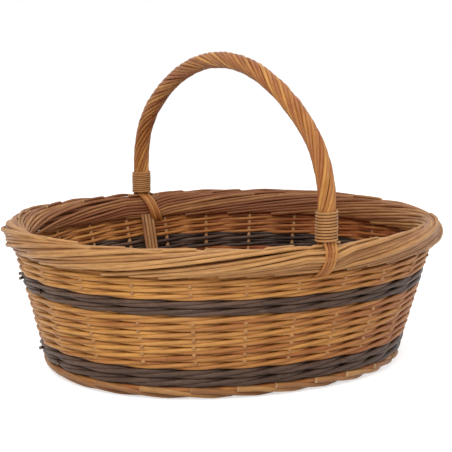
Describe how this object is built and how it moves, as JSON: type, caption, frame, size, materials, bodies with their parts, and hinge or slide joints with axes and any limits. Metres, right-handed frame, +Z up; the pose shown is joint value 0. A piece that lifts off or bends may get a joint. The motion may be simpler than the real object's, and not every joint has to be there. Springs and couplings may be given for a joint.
{
  "type": "woven willow trug garden basket",
  "caption": "Oval woven willow trug with a rolled border, dark wale bands, a shingled foot border and one fixed roped bow handle across its width.",
  "frame": {"origin": "middle of the plane that the basket stands on", "axes": "X along the oval's long axis, Y across it under the bow, Z up"},
  "size_m": [0.4628, 0.4291, 0.3281],
  "materials": {
    "buff_willow": "satin willow bark",
    "dark_willow": "satin willow bark",
    "foot_willow": "satin willow bark",
    "stake_willow": "satin willow bark",
    "base_willow": "satin willow bark",
    "bow_willow": "satin willow bark",
    "border_willow": "satin willow bark"
  },
  "bodies": {
    "root": {"long_bottom_sticks": "stake_willow", "cross_bottom_sticks": "stake_willow", "base_weave_1": "base_willow", "base_weave_2": "base_willow", "base_weave_3": "base_willow", "base_weave_4": "base_willow", "foot_rods_lower": "foot_willow", "foot_rods_upper": "foot_willow", "side_stakes": "stake_willow", "low_dark_wale_1": "dark_willow", "low_dark_wale_2": "dark_willow", "main_wale_1": "buff_willow", "main_wale_2": "buff_willow", "main_wale_3": "buff_willow", "main_wale_4": "buff_willow", "main_wale_5": "buff_willow", "main_wale_6": "buff_willow", "main_wale_7": "buff_willow", "top_dark_wale_1": "dark_willow", "top_dark_wale_2": "dark_willow", "top_wale_1": "buff_willow", "top_wale_2": "buff_willow", "border_rods": "border_willow", "bow_core": "bow_willow", "bow_strand_1": "bow_willow", "bow_strand_2": "bow_willow", "bow_strand_3": "bow_willow", "bow_strand_4": "bow_willow", "bow_strand_5": "bow_willow", "bow_strand_6": "bow_willow", "bow_strand_7": "bow_willow", "bow_strand_8": "bow_willow", "back_lashing": "bow_willow", "front_lashing": "bow_willow", "back_outer_tails": "bow_willow", "back_inner_tails": "bow_willow", "front_outer_tails": "bow_willow", "front_inner_tails": "bow_willow"}
  },
  "joints": []
}
